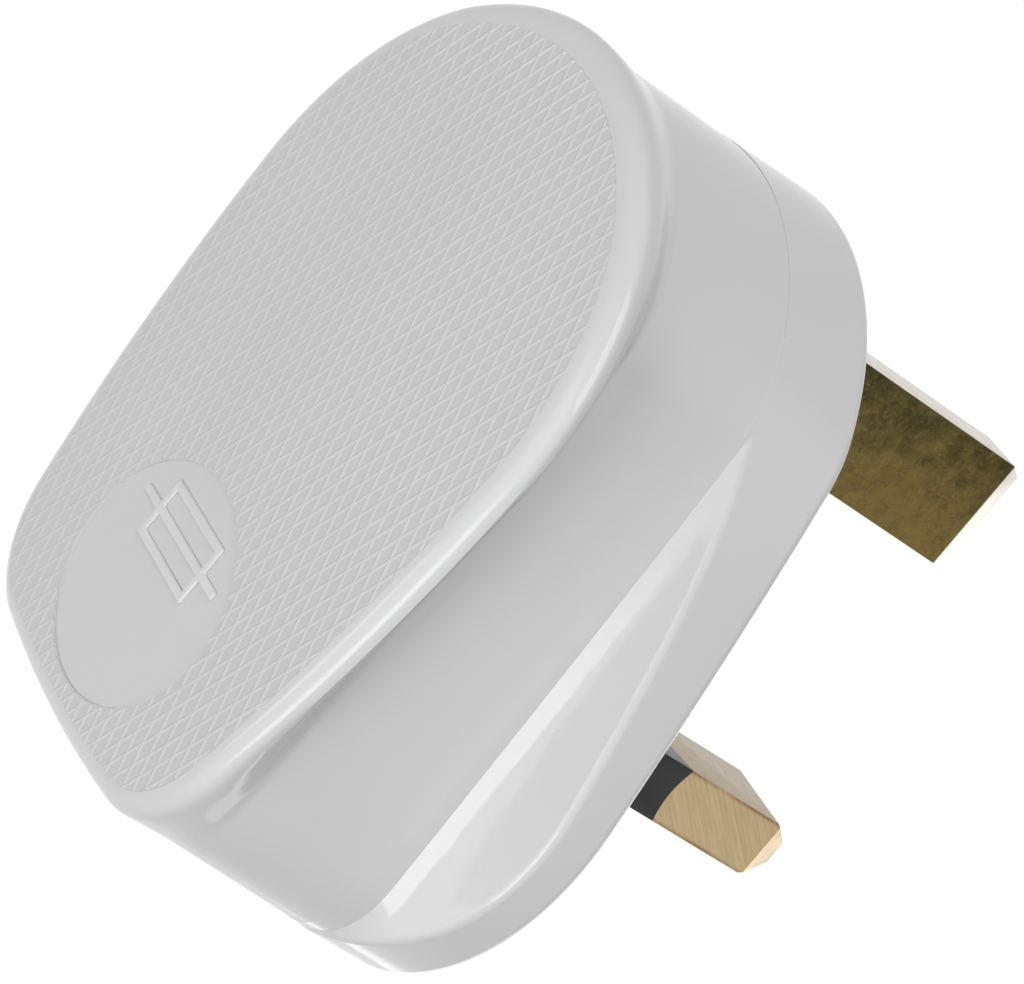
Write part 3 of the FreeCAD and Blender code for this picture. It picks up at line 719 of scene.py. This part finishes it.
class PLUG_OT_fuse_mark(bpy.types.Operator):
    """Raise a plain fuse symbol in the oval"""

    bl_idname = "plug.fuse_mark"
    bl_label = "Fuse symbol"

    def execute(self, context):
        settings = context.scene.plug_back
        stroke = settings.mark_stroke
        columns, rows = 23, 7
        side_columns, middle_row = (4, columns - 5), rows // 2
        deselect_all()
        bpy.ops.mesh.primitive_grid_add(x_subdivisions=columns, y_subdivisions=rows, size=2)
        mark = bpy.context.object
        mark.name = mark.data.name = "fuse_mark"
        mark.scale = (columns * stroke / 2, rows * stroke / 2, 1)
        mark.rotation_euler = (math.pi / 2, 0, 0)
        bpy.ops.object.transform_apply(location=True, rotation=True, scale=True)

        def bare(middle, normal):
            column = round(middle.x / stroke + (columns - 1) / 2)
            row = round(middle.z / stroke + (rows - 1) / 2)
            in_box = side_columns[0] <= column <= side_columns[1]
            return not (row == middle_row or column in side_columns or (in_box and row in (0, rows - 1)))

        select_faces(mark, bare)
        bpy.ops.mesh.delete(type="FACE")
        bpy.ops.mesh.select_all(action="SELECT")
        bpy.ops.mesh.dissolve_limited(angle_limit=math.radians(1))
        bpy.ops.mesh.select_all(action="SELECT")
        foot = 0.0001
        rise = settings.mark_height + foot
        bpy.ops.mesh.extrude_region_move(TRANSFORM_OT_translate={"value": (0, -rise, 0)})
        bpy.ops.mesh.select_all(action="SELECT")
        bpy.ops.mesh.normals_make_consistent(inside=False)
        bpy.ops.object.mode_set(mode="OBJECT")
        oval_floor = settings.tilt_line - settings.depth + settings.oval_depth
        mark.location = (0, oval_floor + foot, settings.mark_place)
        bpy.ops.object.transform_apply(location=True, rotation=True, scale=True)
        apply_modifier(mark, "BEVEL", width=stroke * 0.3, segments=3, limit_method="ANGLE",
                       angle_limit=math.radians(40))
        bpy.ops.object.shade_smooth_by_angle(angle=math.radians(50))
        lean_with_back(mark, settings)
        # Painted highlight: the fuse symbol is a lighter copy of the plastic, standing in for the sheen on
        # its raised edges
        add_to_body(mark, plastic_finish("polished_mark", 1.08))
        return {"FINISHED"}


class PLUG_OT_pins(bpy.types.Operator):
    """Finish the pins and their sleeves"""

    bl_idname = "plug.pins"
    bl_label = "Pins and sleeves"

    def execute(self, context):
        edges = context.scene.plug_edges
        earth = eased_copy(EARTH_PIN, edges.metal_ease)
        stand_for(earth, EARTH_PIN, earth_pin_finish())
        for node, sleeve_node in SLEEVED_PINS.items():
            low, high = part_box(node)
            pin = eased_copy(node, edges.metal_ease, self.sleeve_end(sleeve_node))
            finish = brushed_pin_finish("brushed_brass_" + node.split("_")[0], (low[0] + high[0]) / 2)
            stand_for(pin, node, finish)
        for node in SLEEVED_PINS.values():
            sleeve = eased_copy(node, edges.sleeve_ease, self.sleeve_end(node))
            stand_for(sleeve, node, sleeve_finish())
        return {"FINISHED"}

    def sleeve_end(self, node):
        """How far from the pin face a sleeve ends."""
        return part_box(node)[1][1]


class PLUG_OT_fittings(bpy.types.Operator):
    """Finish the screws, the fuse, its clips and the cord grip inside the body"""

    bl_idname = "plug.fittings"
    bl_label = "Fittings inside"

    def execute(self, context):
        finishes = {"fuse_cap": steel_finish, "brass": brass_finish, "clip": brass_finish,
                    "ceramic": ceramic_finish, "fibre": fibre_finish}
        done = (*SHELLS, EARTH_PIN, *SLEEVED_PINS, *SLEEVED_PINS.values())
        for part in frame["record"]["subparts"]:
            node, slot = part["node"], part["material_slot"]
            if node in done:
                continue
            if slot == "screw":
                screw = eased_copy(node, context.scene.plug_edges.metal_ease)
                stand_for(screw, node, steel_finish())
            else:
                set_material(frame["nodes"][node], finishes[slot]())
        return {"FINISHED"}


class PLUG_OT_stage(bpy.types.Operator):
    """Set the floor, the light and the camera"""

    bl_idname = "plug.stage"
    bl_label = "Stage"

    def execute(self, context):
        settings = context.scene.plug_stage
        self.add_world(context.scene, settings)
        self.add_floor(settings)
        for name in LIGHTS:
            self.add_softbox(settings, name)
        self.add_camera(context.scene, settings)
        context.scene.view_settings.view_transform = "Standard"
        return {"FINISHED"}

    def seen_rays(self, tree):
        """1 for rays that see the background straight, in a mirror or through glass."""
        path = add_node(tree, "ShaderNodeLightPath")
        seen = maths(tree, "MAXIMUM", path.outputs["Is Camera Ray"], path.outputs["Is Glossy Ray"])
        return maths(tree, "MAXIMUM", seen, path.outputs["Is Transmission Ray"])

    def add_world(self, scene, settings):
        world = bpy.data.worlds.new("studio")
        scene.world = world
        world.use_nodes = True
        tree = world.node_tree
        background = tree.nodes["Background"]
        background.inputs["Color"].default_value = (1, 1, 1, 1)
        strength = between(tree, self.seen_rays(tree), 0, 1, settings.surround, 1.0)
        tree.links.new(strength, background.inputs["Strength"])

    def add_floor(self, settings):
        deselect_all()
        bpy.ops.mesh.primitive_grid_add(x_subdivisions=8, y_subdivisions=8, size=24,
                                        location=(0, 0, settings.floor_height))
        floor = bpy.context.object
        floor.name = floor.data.name = "floor"
        bpy.ops.object.transform_apply(location=True, rotation=True, scale=True)
        material, tree, shader = new_finish("pale_floor")
        shader.inputs["Base Color"].default_value = (0.8, 0.8, 0.8, 1)
        shader.inputs["Roughness"].default_value = 0.9
        shader.inputs["Emission Color"].default_value = (1, 1, 1, 1)
        lift = between(tree, self.seen_rays(tree), 0, 1, 0.0, 0.75)
        tree.links.new(lift, shader.inputs["Emission Strength"])
        set_material(floor, material)

    def add_softbox(self, settings, name):
        """A square lamp that points at the plug."""
        data = bpy.data.lights.new(name + "_light", "AREA")
        data.size = getattr(settings, name + "_size")
        data.energy = getattr(settings, name + "_power")
        lamp = bpy.data.objects.new(data.name, data)
        bpy.context.scene.collection.objects.link(lamp)
        place = Vector(getattr(settings, name + "_place"))
        turn = (-place).to_track_quat("-Z", "Y").to_matrix().to_4x4()
        lamp.matrix_world = Matrix.Translation(place) @ turn

    def add_camera(self, scene, settings):
        data = bpy.data.cameras.new("camera")
        data.lens = settings.camera_lens
        data.sensor_width = 36
        camera = bpy.data.objects.new("camera", data)
        scene.collection.objects.link(camera)
        place = Vector(settings.camera_place)
        sight = Vector(settings.camera_aim) - place
        level = sight.to_track_quat("-Z", "Y").to_matrix().to_4x4()
        roll = Matrix.Rotation(settings.camera_roll, 4, "Z")
        camera.matrix_world = Matrix.Translation(place) @ level @ roll
        scene.camera = camera


OPERATORS = (PLUG_OT_shells, PLUG_OT_back_ridges, PLUG_OT_fuse_mark, PLUG_OT_pins, PLUG_OT_fittings,
             PLUG_OT_stage)


class PLUG_PT_parts(bpy.types.Panel):
    """The pieces of the plug, in the order in which they are made"""

    bl_idname = "PLUG_PT_parts"
    bl_label = "Three pin plug"
    bl_space_type = "VIEW_3D"
    bl_region_type = "UI"
    bl_category = "Plug"

    def draw(self, context):
        column = self.layout.column()
        for operator in OPERATORS:
            column.operator(operator.bl_idname)


CLASSES = (PlugBackSettings, PlugEdgeSettings, PlugFinishSettings, PlugStageSettings, *OPERATORS,
           PLUG_PT_parts)


def register():
    for cls in CLASSES:
        bpy.utils.register_class(cls)
    bpy.types.Scene.plug_back = bpy.props.PointerProperty(type=PlugBackSettings)
    bpy.types.Scene.plug_edges = bpy.props.PointerProperty(type=PlugEdgeSettings)
    bpy.types.Scene.plug_finish = bpy.props.PointerProperty(type=PlugFinishSettings)
    bpy.types.Scene.plug_stage = bpy.props.PointerProperty(type=PlugStageSettings)


def unregister():
    del bpy.types.Scene.plug_stage
    del bpy.types.Scene.plug_finish
    del bpy.types.Scene.plug_edges
    del bpy.types.Scene.plug_back
    for cls in reversed(CLASSES):
        bpy.utils.unregister_class(cls)


def main():
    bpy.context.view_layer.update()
    register()
    bpy.ops.plug.shells()
    bpy.ops.plug.back_ridges()
    bpy.ops.plug.fuse_mark()
    bpy.ops.plug.pins()
    bpy.ops.plug.fittings()
    bpy.ops.plug.stage()


if __name__ == "__main__":
    main()
